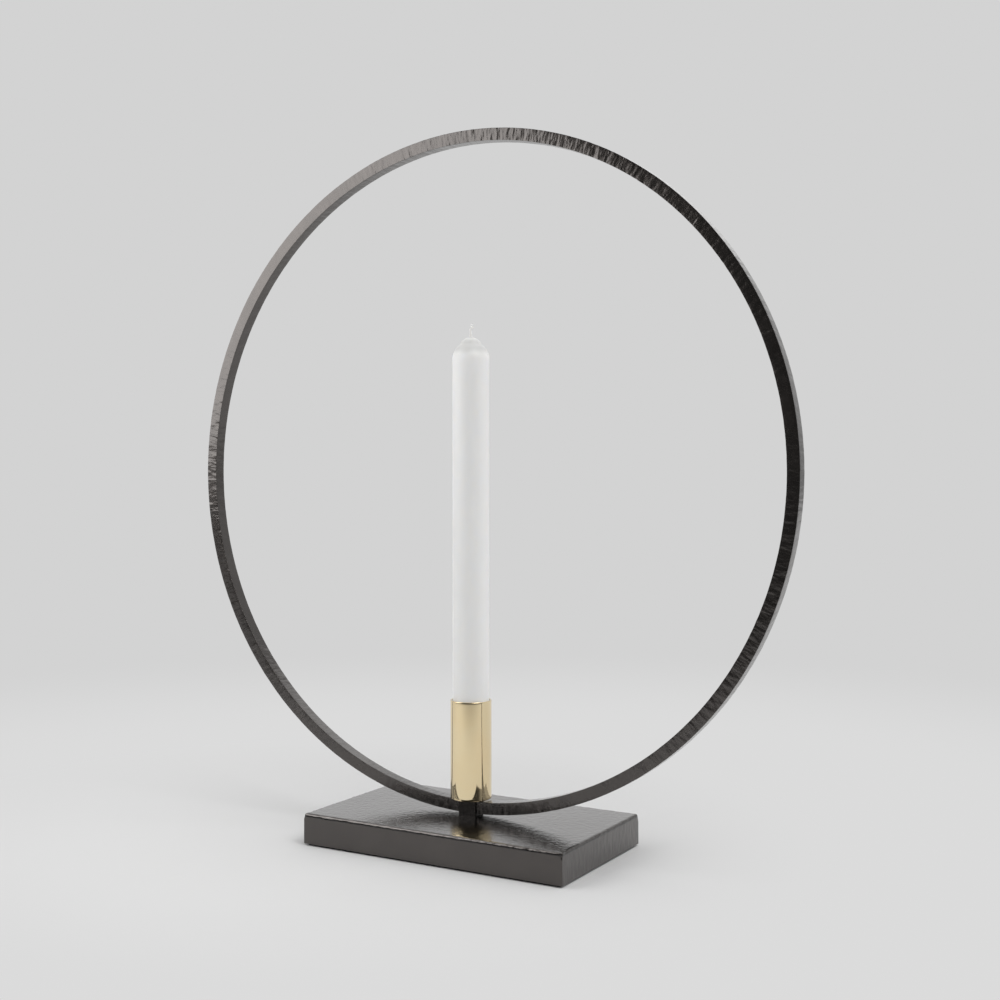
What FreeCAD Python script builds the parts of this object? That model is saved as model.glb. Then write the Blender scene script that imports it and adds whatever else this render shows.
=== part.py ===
import FreeCAD, Part
import math
import os

# Candle ring, in millimetres. A round hoop of rectangular bar stands upright on a flat
# rectangular foot, and a brass cup at the bottom of the hoop holds one dinner candle.
# +Z is up, X runs along the foot and the hoop lies in the XZ plane. The origin is on the
# surface that the foot stands on, under the middle of the hoop.

# Hoop: a bar rolled into a circle, its two ends meeting inside the saddle
hoop_outer_diameter = 400.0
hoop_bar_height = 7.3
hoop_bar_depth = 7.7
hoop_edge_radius = 0.2

# Foot: a solid cast block on a felt pad
foot_length = 172.2
foot_width = 98.4
foot_height = 18.0
foot_edge_radius = 1.0
foot_lower_edge_radius = 0.3
felt_thickness = 1.0
felt_inset = 2.0

# Saddle: a small sleeve round the bottom of the hoop, keyed into the top of the foot
saddle_width = 11.8
saddle_cheek = 0.65
saddle_floor = 1.0
saddle_roof = 1.2
saddle_edge_radius = 0.3
saddle_fit_gap = 0.05
key_depth = 2.0
key_gap = 0.1

# Candle: a plain dinner candle with a rounded nose above a slight ridge
candle_length = 250.0
candle_diameter = 21.65
candle_foot_chamfer = 0.5
nose_length = 11.0
nose_bulge = 0.7
dome_diameter = 12.6
dome_height = 4.1
dome_bulge = 0.9

# Wick: runs the whole length of the candle and jogs sideways above it
wick_diameter = 1.5
wick_standing_length = 7.7
wick_straight_length = 4.2
wick_jog_radius = 1.6
wick_jog_angle = 37.0
wick_jog_heading = 30.0
wick_fit_gap = 0.05

# Cup: a length of tube closed by a plug that the candle stands on
cup_height = 58.0
cup_wall = 1.05
cup_candle_gap = 0.3
cup_rim_radius = 0.35
cup_foot_radius = 0.25
plug_height = 21.2
plug_fit_gap = 0.05
plug_edge_chamfer = 0.5

# Fixing screw: a socket head screw with a washer, up through foot, saddle and hoop
screw_diameter = 5.0
screw_thread_hold = 13.5
screw_hole_gap = 0.25
screw_thread_gap = 0.05
screw_tip_chamfer = 0.6
screw_head_diameter = 8.5
screw_head_height = 5.0
screw_head_chamfer = 0.4
screw_head_recess = 1.0
socket_flats = 4.0
socket_depth = 2.5
washer_diameter = 10.0
washer_thickness = 1.0
counterbore_gap = 0.5
plug_hole_spare = 2.0

# How far a cutting shape runs past the face that it cuts
cut_overrun = 1.0

# Places worked out from the sizes above
foot_bottom_z = felt_thickness
foot_top_z = foot_bottom_z + foot_height
hoop_outer_radius = hoop_outer_diameter / 2
hoop_inner_radius = hoop_outer_radius - hoop_bar_height
hoop_bottom_z = foot_top_z + saddle_floor
hoop_centre_z = hoop_bottom_z + hoop_outer_radius
saddle_depth = hoop_bar_depth + 2 * (saddle_fit_gap + saddle_cheek)
saddle_bottom_z = foot_top_z - key_depth
saddle_top_z = hoop_bottom_z + hoop_bar_height + saddle_roof
cup_bottom_z = saddle_top_z
cup_top_z = cup_bottom_z + cup_height
cup_bore_radius = candle_diameter / 2 + cup_candle_gap
cup_outer_radius = cup_bore_radius + cup_wall
candle_radius = candle_diameter / 2
candle_bottom_z = cup_bottom_z + plug_height
candle_top_z = candle_bottom_z + candle_length
wick_radius = wick_diameter / 2
screw_radius = screw_diameter / 2
screw_hole_radius = screw_radius + screw_hole_gap
counterbore_radius = washer_diameter / 2 + counterbore_gap
washer_top_z = foot_bottom_z + screw_head_recess + screw_head_height + washer_thickness
screw_seat_z = washer_top_z - washer_thickness
screw_tip_z = cup_bottom_z + screw_thread_hold


def point(x, y, z):
    return FreeCAD.Vector(x, y, z)


def upright_cylinder(radius, bottom_z, top_z):
    return Part.makeCylinder(radius, top_z - bottom_z, point(0, 0, bottom_z))


def centred_box(length, width, bottom_z, top_z):
    corner = point(-length / 2, -width / 2, bottom_z)
    return Part.makeBox(length, width, top_z - bottom_z, corner)


def hoop_band(outer_radius, inner_radius, depth):
    """A round band in the XZ plane, centred on the hoop."""
    front = point(0, -depth / 2, hoop_centre_z)
    back_to = point(0, 1, 0)
    outside = Part.makeCylinder(outer_radius, depth, front, back_to)
    inside = Part.makeCylinder(inner_radius, depth, front, back_to)
    return outside.cut(inside)


def screw_hole(bottom_z, top_z):
    return upright_cylinder(screw_hole_radius, bottom_z - cut_overrun, top_z + cut_overrun)


def lowest(z):
    """Test for an edge that lies wholly at height z."""
    return lambda edge: abs(edge.BoundBox.ZMax - z) + abs(edge.BoundBox.ZMin - z) < cut_overrun / 1000


def turned(profile_edges):
    """A solid turned about the Z axis from a closed profile in the XZ plane."""
    face = Part.Face(Part.Wire(profile_edges))
    return face.revolve(point(0, 0, 0), point(0, 0, 1), 360)


def arc_over(start, end, bulge):
    """An arc from start to end that stands out from its chord by bulge, away from the axis."""
    chord = end - start
    outward = point(chord.z, 0, -chord.x).normalize()
    middle = (start + end) / 2 + outward * bulge
    return Part.Arc(start, middle, end).toShape()


def foot_block():
    """The cast block: rounded edges, a key pocket on top and a counterbored hole below."""
    block = centred_box(foot_length, foot_width, foot_bottom_z, foot_top_z)
    at_foot = lowest(foot_bottom_z)
    upper = [edge for edge in block.Edges if not at_foot(edge)]
    block = block.makeFillet(foot_edge_radius, upper)
    lower = [edge for edge in block.Edges if at_foot(edge)]
    block = block.makeFillet(foot_lower_edge_radius, lower)
    pocket_length = saddle_width + 2 * key_gap
    pocket_width = saddle_depth + 2 * key_gap
    pocket = centred_box(pocket_length, pocket_width, saddle_bottom_z, foot_top_z + cut_overrun)
    counterbore = upright_cylinder(counterbore_radius, foot_bottom_z - cut_overrun, washer_top_z)
    block = block.cut(pocket)
    block = block.cut(counterbore)
    return block.cut(screw_hole(foot_bottom_z, foot_top_z))


def felt_pad():
    """The sheet glued under the foot, which also covers the counterbore."""
    length = foot_length - 2 * felt_inset
    width = foot_width - 2 * felt_inset
    pad = centred_box(length, width, 0, foot_bottom_z)
    corners = [edge for edge in pad.Edges if edge.BoundBox.ZLength > felt_thickness / 2]
    return pad.makeFillet(foot_edge_radius, corners)


def hoop():
    """The rolled bar, with softened edges and a hole for the screw at its foot."""
    band = hoop_band(hoop_outer_radius, hoop_inner_radius, hoop_bar_depth)
    rims = [edge for edge in band.Edges if edge.BoundBox.YLength < hoop_edge_radius]
    band = band.makeFillet(hoop_edge_radius, rims)
    return band.cut(screw_hole(hoop_bottom_z, hoop_bottom_z + hoop_bar_height))


def saddle():
    """The sleeve that the hoop passes through, with its foot let into the key pocket."""
    block = centred_box(saddle_width, saddle_depth, saddle_bottom_z, saddle_top_z)
    uprights = [edge for edge in block.Edges if edge.BoundBox.ZLength > key_depth]
    block = block.makeFillet(saddle_edge_radius, uprights)
    channel_depth = hoop_bar_depth + 2 * saddle_fit_gap
    channel = hoop_band(hoop_outer_radius + saddle_fit_gap, hoop_inner_radius - saddle_fit_gap,
                        channel_depth)
    block = block.cut(channel)
    return block.cut(screw_hole(saddle_bottom_z, saddle_top_z))


def cup_tube():
    """The candle cup's wall, with rounded rim edges and a softened foot."""
    tube = upright_cylinder(cup_outer_radius, cup_bottom_z, cup_top_z)
    tube = tube.cut(upright_cylinder(cup_bore_radius, cup_bottom_z, cup_top_z))
    at_top = lowest(cup_top_z)
    at_foot = lowest(cup_bottom_z)
    rim = [edge for edge in tube.Edges if at_top(edge)]
    tube = tube.makeFillet(cup_rim_radius, rim)
    foot = [edge for edge in tube.Edges
            if at_foot(edge) and edge.BoundBox.XLength > cup_bore_radius + cup_outer_radius]
    return tube.makeFillet(cup_foot_radius, foot)


def cup_plug():
    """The tapped plug that closes the tube and takes the fixing screw."""
    plug = upright_cylinder(cup_bore_radius - plug_fit_gap, cup_bottom_z, candle_bottom_z)
    at_top = lowest(candle_bottom_z)
    plug = plug.makeChamfer(plug_edge_chamfer, [edge for edge in plug.Edges if at_top(edge)])
    tapped_hole = upright_cylinder(screw_radius + screw_thread_gap, cup_bottom_z - cut_overrun,
                                   screw_tip_z + plug_hole_spare)
    return plug.cut(tapped_hole)


def fixing_screw():
    """The screw that clamps cup, saddle and hoop down on the foot."""
    head_bottom_z = screw_seat_z - screw_head_height
    head = upright_cylinder(screw_head_diameter / 2, head_bottom_z, screw_seat_z)
    at_foot = lowest(head_bottom_z)
    head = head.makeChamfer(screw_head_chamfer, [edge for edge in head.Edges if at_foot(edge)])
    shank = upright_cylinder(screw_radius, screw_seat_z, screw_tip_z)
    at_tip = lowest(screw_tip_z)
    shank = shank.makeChamfer(screw_tip_chamfer, [edge for edge in shank.Edges if at_tip(edge)])
    corner_radius = socket_flats / 2 / math.cos(math.pi / 6)
    corners = [point(corner_radius * math.cos(turn * math.pi / 3),
                     corner_radius * math.sin(turn * math.pi / 3),
                     head_bottom_z - cut_overrun) for turn in range(6)]
    hexagon = Part.Face(Part.makePolygon(corners + corners[:1]))
    socket = hexagon.extrude(point(0, 0, socket_depth + cut_overrun))
    return head.fuse(shank).removeSplitter().cut(socket)


def washer():
    """The plain washer under the screw's head."""
    disc = upright_cylinder(washer_diameter / 2, screw_seat_z, washer_top_z)
    return disc.cut(screw_hole(screw_seat_z, washer_top_z))


def candle_wax():
    """The wax: a straight stick with a domed nose, cast round its wick."""
    bore = wick_radius + wick_fit_gap
    dome_bottom_z = candle_top_z - dome_height
    shoulder_z = candle_top_z - nose_length
    at_axis = point(bore, 0, candle_bottom_z)
    foot_inner = point(candle_radius - candle_foot_chamfer, 0, candle_bottom_z)
    foot_outer = point(candle_radius, 0, candle_bottom_z + candle_foot_chamfer)
    shoulder = point(candle_radius, 0, shoulder_z)
    ridge = point(dome_diameter / 2, 0, dome_bottom_z)
    tip = point(bore, 0, candle_top_z)
    return turned([
        Part.LineSegment(at_axis, foot_inner).toShape(),
        Part.LineSegment(foot_inner, foot_outer).toShape(),
        Part.LineSegment(foot_outer, shoulder).toShape(),
        arc_over(shoulder, ridge, nose_bulge),
        arc_over(ridge, tip, dome_bulge),
        Part.LineSegment(tip, at_axis).toShape(),
    ])


def candle_wick():
    """The wick: straight through the wax, then a small sideways jog near its end."""
    angle = math.radians(wick_jog_angle)
    half_angle = angle / 2
    heading = math.radians(wick_jog_heading)

    def place(aside, z):
        return point(aside * math.cos(heading), aside * math.sin(heading), z)

    def bend(turn):
        return wick_jog_radius * (1 - math.cos(turn)), wick_jog_radius * math.sin(turn)

    jog_z = candle_top_z + wick_straight_length
    middle_aside, middle_rise = bend(half_angle)
    turn_aside, turn_rise = bend(angle)
    jog_aside = 2 * turn_aside
    jog_rise = 2 * turn_rise
    start = place(0, candle_bottom_z)
    jog_start = place(0, jog_z)
    first_middle = place(middle_aside, jog_z + middle_rise)
    crossing = place(turn_aside, jog_z + turn_rise)
    second_middle = place(jog_aside - middle_aside, jog_z + jog_rise - middle_rise)
    jog_end = place(jog_aside, jog_z + jog_rise)
    end = place(jog_aside, candle_top_z + wick_standing_length)
    path = Part.Wire([
        Part.LineSegment(start, jog_start).toShape(),
        Part.Arc(jog_start, first_middle, crossing).toShape(),
        Part.Arc(crossing, second_middle, jog_end).toShape(),
        Part.LineSegment(jog_end, end).toShape(),
    ])
    section = Part.Wire([Part.Circle(start, point(0, 0, 1), wick_radius).toShape()])
    return path.makePipeShell([section], True, False)


os.makedirs("parts", exist_ok=True)
pieces = {
    "foot_block": foot_block(),
    "felt_pad": felt_pad(),
    "hoop": hoop(),
    "saddle": saddle(),
    "cup_tube": cup_tube(),
    "cup_plug": cup_plug(),
    "fixing_screw": fixing_screw(),
    "washer": washer(),
    "candle_wax": candle_wax(),
    "candle_wick": candle_wick(),
}
for name, shape in pieces.items():
    shape.exportStep("parts/" + name + ".step")
    print(name, "valid" if shape.isValid() else "INVALID", "solids", len(shape.Solids),
          "volume", round(shape.Volume, 1))
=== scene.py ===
import math

import bmesh
import bpy
from bpy.props import FloatProperty, FloatVectorProperty, PointerProperty
from mathutils import Matrix, Vector, noise


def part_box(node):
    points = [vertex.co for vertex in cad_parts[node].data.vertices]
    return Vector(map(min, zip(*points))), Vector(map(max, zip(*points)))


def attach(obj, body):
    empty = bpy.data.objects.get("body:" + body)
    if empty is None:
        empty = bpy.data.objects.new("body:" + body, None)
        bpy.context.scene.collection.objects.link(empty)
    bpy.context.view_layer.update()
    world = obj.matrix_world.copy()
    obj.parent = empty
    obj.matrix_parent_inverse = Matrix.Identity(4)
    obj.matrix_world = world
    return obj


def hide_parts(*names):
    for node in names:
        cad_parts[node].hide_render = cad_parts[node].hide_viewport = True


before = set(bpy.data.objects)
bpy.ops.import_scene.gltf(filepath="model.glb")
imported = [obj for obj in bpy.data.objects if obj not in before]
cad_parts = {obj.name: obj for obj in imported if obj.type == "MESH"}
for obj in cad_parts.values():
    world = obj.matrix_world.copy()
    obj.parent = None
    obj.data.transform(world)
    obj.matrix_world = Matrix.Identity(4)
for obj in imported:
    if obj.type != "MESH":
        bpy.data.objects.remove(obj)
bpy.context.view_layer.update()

bl_info = {
    "name": "Candle Ring",
    "version": (1, 0, 0),
    "blender": (4, 5, 0),
    "location": "View3D > Sidebar > Candle Ring",
    "description": "Builds the finish of a hoop candle holder around its fixed frame",
    "category": "Object",
}

MM = 0.001

# What the properties of one kind have in common
LENGTH = {"unit": "LENGTH", "precision": 6}
TINT = {"subtype": "COLOR", "min": 0, "max": 1}
SHARE = {"min": 0, "max": 1}

# Gaps between pieces, and how far a cut runs past the faces that it opens
KEY_GAP = 0.1 * MM
COUNTERBORE_GAP = 0.5 * MM
BAR_GAP = 0.05 * MM
OVERRUN = 1 * MM

# Steps of the grids that the pieces' skins are made on, and counts round and along them
HOOP_STEP = 1.0 * MM
HOOP_SEGMENTS = 1320
FOOT_STEP = Vector((0.9, 0.9, 0.9)) * MM
FELT_STEP = Vector((1.2, 1.2, 0.25)) * MM
SADDLE_STEP = Vector((0.3, 0.3, 0.5)) * MM
CHANNEL_STEP = 4 * MM
CHANNEL_SEGMENTS = 720
CUTTER_SIDES = 64
CUP_SEGMENTS = 256
CUP_WALL_ROWS = 48
CUP_RIM_ROWS = 2
CUP_FOOT_ROWS = 3
CUP_EDGE_ROWS = 6
WAX_SEGMENTS = 160
WAX_FOOT_ROWS = 6
WAX_EDGE_ROWS = 3
WAX_SIDE_ROWS = 120
WAX_NOSE_ROWS = 14
WAX_BORE_ROWS = 30
WICK_SIDES = 30
WICK_BURIED_ROWS = 20
WICK_STRAIGHT_ROWS = 16
WICK_BEND_ROWS = 12
FLOOR_SIDES = 96
EDGE_SHARES = (0, 0.15, 0.35, 0.6, 1.0, 1.4)
SHARP_ANGLE = math.radians(50)

# Waver of the hand-dressed edges: a long wave, and a short one that counts for less
LONG_WAVE = 4.0 * MM
SHORT_WAVE = 1.6 * MM
SHORT_WAVE_SHARE = 0.5
LEAST_EDGE_SHARE = 0.3

# Cast skin: the hoop's hollows are larger than the foot's by the first share, and the second
# shortens the heights that the foot's sides are read at, which draws their hollows out upright
HOOP_CAST_SHARE = 1.4
SIDE_CAST_SHARE = 0.4

# Small forms of the felt, the saddle, the wax and the wick
FELT_EDGE = 0.2 * MM
FELT_WAVER = 0.3
NAP_SIZE = 1.1 * MM
NAP_DEPTH = 0.35 * MM
FILE_WIDTH = 0.7 * MM
FILE_LENGTH = 9 * MM
FILE_DEPTH = 0.04 * MM
WAX_EDGE = 0.5 * MM
WAX_RIPPLE_SIZE = 9 * MM
WAX_RIPPLE_DEPTH = 0.05 * MM
WAX_RIPPLE_STRETCH = 0.25
WICK_FOOT = 1 * MM
WICK_TIP_SHARES = (0.3, 0.6, 0.85, 1.0)
WICK_TIP_WIDTH_SHARE = 0.72
BRAID_STRANDS = 1.5
BRAID_LENGTH = 0.8 * MM
BRAID_DEPTH = 0.07


# Sizes read from the frame

def radii_about_z(node):
    """Smallest and largest distance from the Z axis of a node's points."""
    reach = [math.hypot(v.co.x, v.co.y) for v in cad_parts[node].data.vertices]
    return min(reach), max(reach)


hoop_low, hoop_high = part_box("hoop")
hoop_centre = Vector((0, 0, (hoop_low.z + hoop_high.z) / 2))
hoop_radius = (hoop_high.z - hoop_low.z) / 2
hoop_inner_radius = min(math.hypot(v.co.x, v.co.z - hoop_centre.z)
                        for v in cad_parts["hoop"].data.vertices)
hoop_depth = hoop_high.y - hoop_low.y
foot_low, foot_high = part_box("foot_block")
felt_low, felt_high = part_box("felt_pad")
saddle_low, saddle_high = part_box("saddle")
cup_low, cup_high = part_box("cup_tube")
cup_bore_radius, cup_radius = radii_about_z("cup_tube")
wax_low, wax_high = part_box("candle_wax")
wax_bore_radius, wax_radius = radii_about_z("candle_wax")
wick_low, wick_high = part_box("candle_wick")
washer_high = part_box("washer")[1]
screw_hole_radius = radii_about_z("washer")[0]


class CandleRingShape(bpy.types.PropertyGroup):
    """Small forms that the frame's boxes don't give."""
    bar_crown: FloatProperty(
        name="Hoop crown", description="How far the hoop bar's faces fall off near their edges",
        default=0.06 * MM, **LENGTH)
    bar_edge: FloatProperty(
        name="Hoop edge", description="Rounding of the hoop bar's edges",
        default=0.2 * MM, **LENGTH)
    foot_upper_edge: FloatProperty(
        name="Foot upper edge", description="Rounding of the foot block's upper edges",
        default=1.7 * MM, **LENGTH)
    foot_upright_edge: FloatProperty(
        name="Foot upright edge", description="Rounding of the foot block's upright edges",
        default=0.5 * MM, **LENGTH)
    foot_lower_edge: FloatProperty(
        name="Foot lower edge", description="Rounding of the foot block's lower edges",
        default=0.3 * MM, **LENGTH)
    foot_draft: FloatProperty(
        name="Foot draft", description="How far the foot's sides lean in towards the top",
        default=0.12 * MM, **LENGTH)
    saddle_edge: FloatProperty(
        name="Saddle edge", description="Rounding of the saddle's edges",
        default=0.3 * MM, **LENGTH)
    edge_waver: FloatProperty(
        name="Edge waver", description="How unevenly the cast edges were dressed, as a share",
        default=0.3, min=0, max=0.9)
    cast_depth: FloatProperty(
        name="Cast depth", description="Depth of the cast surface's hollows",
        default=0.14 * MM, **LENGTH)
    cast_size: FloatProperty(
        name="Cast size", description="Distance between the cast surface's hollows",
        default=2.2 * MM, **LENGTH)
    cup_rim: FloatProperty(
        name="Cup rim", description="Rounding of the cup's rim edges",
        default=0.35 * MM, **LENGTH)
    nose_length: FloatProperty(
        name="Nose length", description="Height of the candle's tapered end",
        default=11.0 * MM, **LENGTH)
    nose_bulge: FloatProperty(
        name="Nose bulge", description="How far the taper stands out from a straight cone",
        default=0.7 * MM, **LENGTH)
    dome_radius: FloatProperty(
        name="Dome radius", description="Radius of the ridge under the candle's dome",
        default=6.3 * MM, **LENGTH)
    dome_height: FloatProperty(
        name="Dome height", description="Height of the dome above its ridge",
        default=4.1 * MM, **LENGTH)
    dome_bulge: FloatProperty(
        name="Dome bulge", description="How far the dome stands out from a straight cone",
        default=0.9 * MM, **LENGTH)
    wick_radius: FloatProperty(
        name="Wick radius", description="Radius of the waxed wick",
        default=0.75 * MM, **LENGTH)
    wick_straight: FloatProperty(
        name="Wick straight", description="Height of the wick above the dome before its jog",
        default=4.2 * MM, **LENGTH)
    wick_jog_radius: FloatProperty(
        name="Wick jog radius", description="Bend radius of the wick's sideways jog",
        default=1.6 * MM, **LENGTH)
    wick_jog_angle: FloatProperty(
        name="Wick jog angle", description="Angle of each bend in the wick's jog",
        default=math.radians(37), subtype="ANGLE")
    wick_heading: FloatProperty(
        name="Wick heading", description="Direction of the jog round the candle, from +X",
        default=math.radians(30), subtype="ANGLE")


class CandleRingFinish(bpy.types.PropertyGroup):
    """Colours and surface finishes."""
    plating: FloatVectorProperty(
        name="Plating", description="Black nickel's reflection colour",
        default=(0.068, 0.0595, 0.0547), **TINT)
    plating_roughness: FloatProperty(
        name="Plating roughness", description="Roughness of the black nickel",
        default=0.17, **SHARE)
    lacquer_roughness: FloatProperty(
        name="Lacquer roughness", description="Roughness of the clear lacquer over the plating",
        default=0.07, **SHARE)
    ripple_size: FloatProperty(
        name="Ripple size", description="Distance between the cast surface's fine ripples",
        default=1.6 * MM, **LENGTH)
    ripple_height: FloatProperty(
        name="Ripple height", description="Height of the fine ripples",
        default=0.03 * MM, **LENGTH)
    streak_size: FloatProperty(
        name="Streak size", description="Distance between the streaks across the hoop's bar",
        default=2.7 * MM, **LENGTH)
    streak_height: FloatProperty(
        name="Streak height", description="Height of the streaks across the hoop's bar",
        default=0.29 * MM, **LENGTH)
    file_size: FloatProperty(
        name="File mark size", description="Distance between the foot's upright file marks",
        default=0.9 * MM, **LENGTH)
    file_height: FloatProperty(
        name="File mark height", description="Height of the file marks",
        default=0.065 * MM, **LENGTH)
    brass: FloatVectorProperty(
        name="Brass", description="Colour of the polished, lacquered brass",
        default=(0.86, 0.72, 0.46), **TINT)
    brass_roughness: FloatProperty(
        name="Brass roughness", description="Roughness of the brass",
        default=0.04, **SHARE)
    wax: FloatVectorProperty(
        name="Wax", description="Colour of the candle's wax",
        default=(0.93, 0.93, 0.915), **TINT)
    wick: FloatVectorProperty(
        name="Wick", description="Colour of the waxed cotton",
        default=(0.95, 0.94, 0.92), **TINT)
    felt: FloatVectorProperty(
        name="Felt", description="Colour of the felt under the foot",
        default=(0.012, 0.012, 0.012), **TINT)
    zinc: FloatVectorProperty(
        name="Zinc", description="Colour of the plated screw and washer",
        default=(0.60, 0.61, 0.63), **TINT)


class CandleRingStage(bpy.types.PropertyGroup):
    """Floor, backdrop, lamps and camera."""
    floor: FloatVectorProperty(
        name="Floor", description="Colour of the floor",
        default=(0.615, 0.615, 0.615), **TINT)
    backdrop: FloatVectorProperty(
        name="Backdrop", description="Colour of the backdrop as the camera sees it",
        default=(0.651, 0.651, 0.651), **TINT)
    floor_radius: FloatProperty(
        name="Floor radius", description="Radius of the round floor",
        default=3.0, unit="LENGTH")
    camera_place: FloatVectorProperty(
        name="Camera place", description="Where the camera stands",
        default=(0.4232, -0.6988, 0.2218), subtype="TRANSLATION", unit="LENGTH")
    camera_heading: FloatProperty(
        name="Camera heading", description="The camera's turn to the left from +Y",
        default=math.radians(30.0), subtype="ANGLE")
    camera_tilt: FloatProperty(
        name="Camera tilt", description="The camera's tilt above the horizon",
        default=math.radians(-1.233), subtype="ANGLE")
    lens: FloatProperty(
        name="Lens", description="Focal length in millimetres on a 36 mm wide sensor",
        default=50.0)
    key: FloatProperty(
        name="Key softbox", description="Brightness of the two softboxes at the front left",
        default=2.85, min=0)
    top: FloatProperty(
        name="Top softbox", description="Brightness of the softbox overhead",
        default=1.65, min=0)
    fill: FloatProperty(
        name="Fill softbox", description="Brightness of the softbox at the right",
        default=4.9, min=0)
    back: FloatProperty(
        name="Back softbox", description="Brightness of the softbox high behind the object",
        default=0.48, min=0)
    studio_back: FloatProperty(
        name="Studio back", description="Brightness of the room behind the object",
        default=0.70, min=0)
    studio_horizon: FloatProperty(
        name="Studio horizon", description="Brightness of the room's far floor line",
        default=0.50, min=0)
    studio_front: FloatProperty(
        name="Studio front", description="Brightness of the room in front of the object",
        default=0.07, min=0)


def shape():
    return bpy.context.scene.candle_ring_shape


def finish():
    return bpy.context.scene.candle_ring_finish


def stage():
    return bpy.context.scene.candle_ring_stage


# Meshes

def linked(name, data):
    """A new object in the scene that holds a mesh, a lamp or a camera."""
    piece = bpy.data.objects.new(name, data)
    bpy.context.scene.collection.objects.link(piece)
    return piece


def smooth(mesh):
    mesh.shade_smooth()
    mesh.set_sharp_from_angle(angle=SHARP_ANGLE)


def turns(count):
    """The angles of equal steps round a full turn."""
    return [2 * math.pi * i / count for i in range(count)]


def circle(radius, height, sides):
    """Points round a level circle about the Z axis."""
    return [Vector((radius * math.cos(turn), radius * math.sin(turn), height))
            for turn in turns(sides)]


def ring_mesh(name, rings, looped):
    """A closed skin over rings of points, joined round each ring and from ring to ring.

    A looped skin goes on from the last ring to the first. Any other has a flat cap at each end.
    """
    count = len(rings[0])
    points = [p for ring in rings for p in ring]
    caps = [tuple(range(count)), tuple(range(len(points) - count, len(points)))]
    faces = [] if looped else caps
    for i in range(len(rings) if looped else len(rings) - 1):
        here, there = i * count, (i + 1) % len(rings) * count
        for j in range(count):
            k = (j + 1) % count
            faces.append((here + j, here + k, there + k, there + j))
    mesh = bpy.data.meshes.new(name)
    mesh.from_pydata(points, [], faces)
    skin = bmesh.new()
    skin.from_mesh(mesh)
    bmesh.ops.recalc_face_normals(skin, faces=skin.faces)
    skin.to_mesh(mesh)
    skin.free()
    return mesh


def lathed_mesh(name, profile, segments, ripple=None):
    """A ring-shaped skin turned about Z from a closed profile of (radius, height) pairs."""
    rings = []
    for turn in turns(segments):
        out = Vector((math.cos(turn), math.sin(turn), 0))
        ring = []
        for radius, height in profile:
            point = out * radius + Vector((0, 0, height))
            if ripple:
                point -= out * ripple(point)
            ring.append(point)
        rings.append(ring)
    return ring_mesh(name, rings, looped=True)


def way(start, end, count, bulge=0):
    """Points from start to before end, on a line or on an arc that stands out to the right."""
    start, end = Vector(start), Vector(end)
    if not bulge:
        return [start.lerp(end, i / count) for i in range(count)]
    chord = end - start
    radius = (chord.length / 2) ** 2 / (2 * bulge) + bulge / 2
    side = Vector((chord.y, -chord.x)).normalized()
    centre = (start + end) / 2 + side * (bulge - radius)
    first, last = start - centre, end - centre
    sweep = first.angle_signed(last)
    points = []
    for i in range(count):
        turned = first.copy()
        turned.rotate(Matrix.Rotation(-sweep * i / count, 2))
        points.append(centre + turned)
    return points


def closed_profile(*corners):
    """Points round a closed line through corners.

    Each corner is a place, the count of points from there to the next corner and, where an
    arc leads there, the arc's bulge.
    """
    points = []
    for (start, *lead), (end, *_) in zip(corners, corners[1:] + corners[:1]):
        points += way(start, end, *lead)
    return points


def hills(point):
    """Smooth noise from 0 to 1."""
    return 0.5 + 0.5 * noise.noise(point)


def cast_hollow(point, size, depth):
    """Depth of the cast surface below its highest level."""
    return depth * hills(point / size)


def edge_radius(point, radius, waver):
    """The rounding of a hand-dressed edge, which wavers along it."""
    point = Vector(point)
    wave = noise.noise(point / LONG_WAVE) + SHORT_WAVE_SHARE * noise.noise(point / SHORT_WAVE)
    return radius * max(LEAST_EDGE_SHARE, 1 + waver * wave)


def spaced(low, high, near_low, near_high, step):
    """Grid places from low to high: close together within the rounded edges at each end."""
    first = [low + near_low * s for s in EDGE_SHARES]
    last = [high - near_high * s for s in reversed(EDGE_SHARES)]
    count = max(1, round((last[0] - first[-1]) / step))
    middle = [first[-1] + (last[0] - first[-1]) * i / count for i in range(1, count)]
    return first + middle + last


def smooth_step(value, low, high):
    share = max(0.0, min(1.0, (value - low) / (high - low)))
    return share * share * (3 - 2 * share)


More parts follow.
